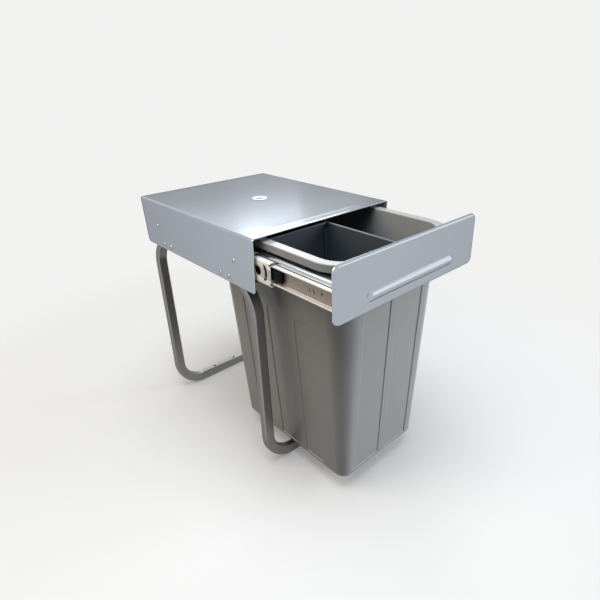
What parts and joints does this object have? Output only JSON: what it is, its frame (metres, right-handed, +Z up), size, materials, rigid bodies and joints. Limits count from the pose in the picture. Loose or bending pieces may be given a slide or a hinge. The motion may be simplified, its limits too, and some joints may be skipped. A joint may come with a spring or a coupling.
{
  "type": "pull-out bin frame",
  "caption": "Pull-out waste bin frame: sheet steel housing on bent tube legs, with a drawer on ball-bearing slides that holds a divided plastic bin by its rim.",
  "frame": {"origin": "on the floor, at the centre of the pattern of floor screw holes, below the middle of the housing", "axes": "+X to the right and +Y to the rear as seen from the front panel, +Z up; the drawer pulls out along -Y"},
  "size_m": [0.294, 0.5195, 0.4295],
  "materials": {
    "painted_sheet": "satin powder coat",
    "leg_paint": "satin powder coat",
    "rivet_steel": "satin",
    "zinc_steel": "bright zinc plate",
    "cage_strip": "plain strip",
    "ball_steel": "polished",
    "bin_plastic": "fine moulded satin",
    "divider_plastic": "fine moulded satin",
    "black_plastic": "moulded satin",
    "bumper_rubber": "matte",
    "badge_blank": "gloss"
  },
  "bodies": {
    "frame": {"housing_shell": "painted_sheet", "top_badge": "badge_blank", "front_leg": "leg_paint", "rear_leg": "leg_paint", "leg_rivets_left": "rivet_steel", "leg_rivets_right": "rivet_steel", "rail_rivets_left": "rivet_steel", "rail_rivets_right": "rivet_steel", "slide_outer_left": "zinc_steel", "slide_outer_right": "zinc_steel", "rail_bumper_left": "bumper_rubber", "rail_bumper_right": "bumper_rubber"},
    "outer_cages": {"ball_cage_outer_left": "cage_strip", "ball_cage_outer_right": "cage_strip", "balls_outer_left": "ball_steel", "balls_outer_right": "ball_steel"},
    "middle_members": {"slide_middle_left": "zinc_steel", "slide_middle_right": "zinc_steel"},
    "inner_cages": {"ball_cage_inner_left": "cage_strip", "ball_cage_inner_right": "cage_strip", "balls_inner_left": "ball_steel", "balls_inner_right": "ball_steel"},
    "drawer": {"slide_inner_left": "zinc_steel", "slide_inner_right": "zinc_steel", "lever_pin_left": "zinc_steel", "lever_pin_right": "zinc_steel", "carrier_rivets_left": "zinc_steel", "carrier_rivets_right": "zinc_steel", "carrier_frame": "painted_sheet", "front_panel": "painted_sheet", "panel_nuts": "zinc_steel", "bin": "bin_plastic", "long_divider": "divider_plastic", "cross_divider": "divider_plastic"},
    "lever_left": {"release_lever_left": "black_plastic"},
    "lever_right": {"release_lever_right": "black_plastic"}
  },
  "joints": [
    {"name": "middle_slide", "type": "slide", "parent": "frame", "child": "middle_members", "axis": [0, -1, 0], "range_m": [-0.03, 0.145]},
    {"name": "drawer_slide", "type": "slide", "parent": "middle_members", "child": "drawer", "axis": [0, -1, 0], "range_m": [-0.125, 0.05]},
    {"name": "outer_cage_slide", "type": "slide", "parent": "frame", "child": "outer_cages", "axis": [0, -1, 0], "range_m": [-0.015, 0.0725]},
    {"name": "inner_cage_slide", "type": "slide", "parent": "middle_members", "child": "inner_cages", "axis": [0, -1, 0], "range_m": [-0.0625, 0.025]},
    {"name": "lever_left_press", "type": "hinge", "parent": "drawer", "child": "lever_left", "pos_m": [-0.1305, -0.187, 0.375], "axis": [1, 0, 0], "range_deg": [0, 5], "stiffness_Nm_per_rad": 0.1, "springref_deg": -8.59},
    {"name": "lever_right_press", "type": "hinge", "parent": "drawer", "child": "lever_right", "pos_m": [0.1305, -0.187, 0.375], "axis": [1, 0, 0], "range_deg": [-5, 0], "stiffness_Nm_per_rad": 0.1, "springref_deg": 8.59}
  ],
  "couplings": [
    {"joint": "outer_cage_slide", "follows": "middle_slide", "ratio": 0.5},
    {"joint": "inner_cage_slide", "follows": "drawer_slide", "ratio": 0.5}
  ]
}
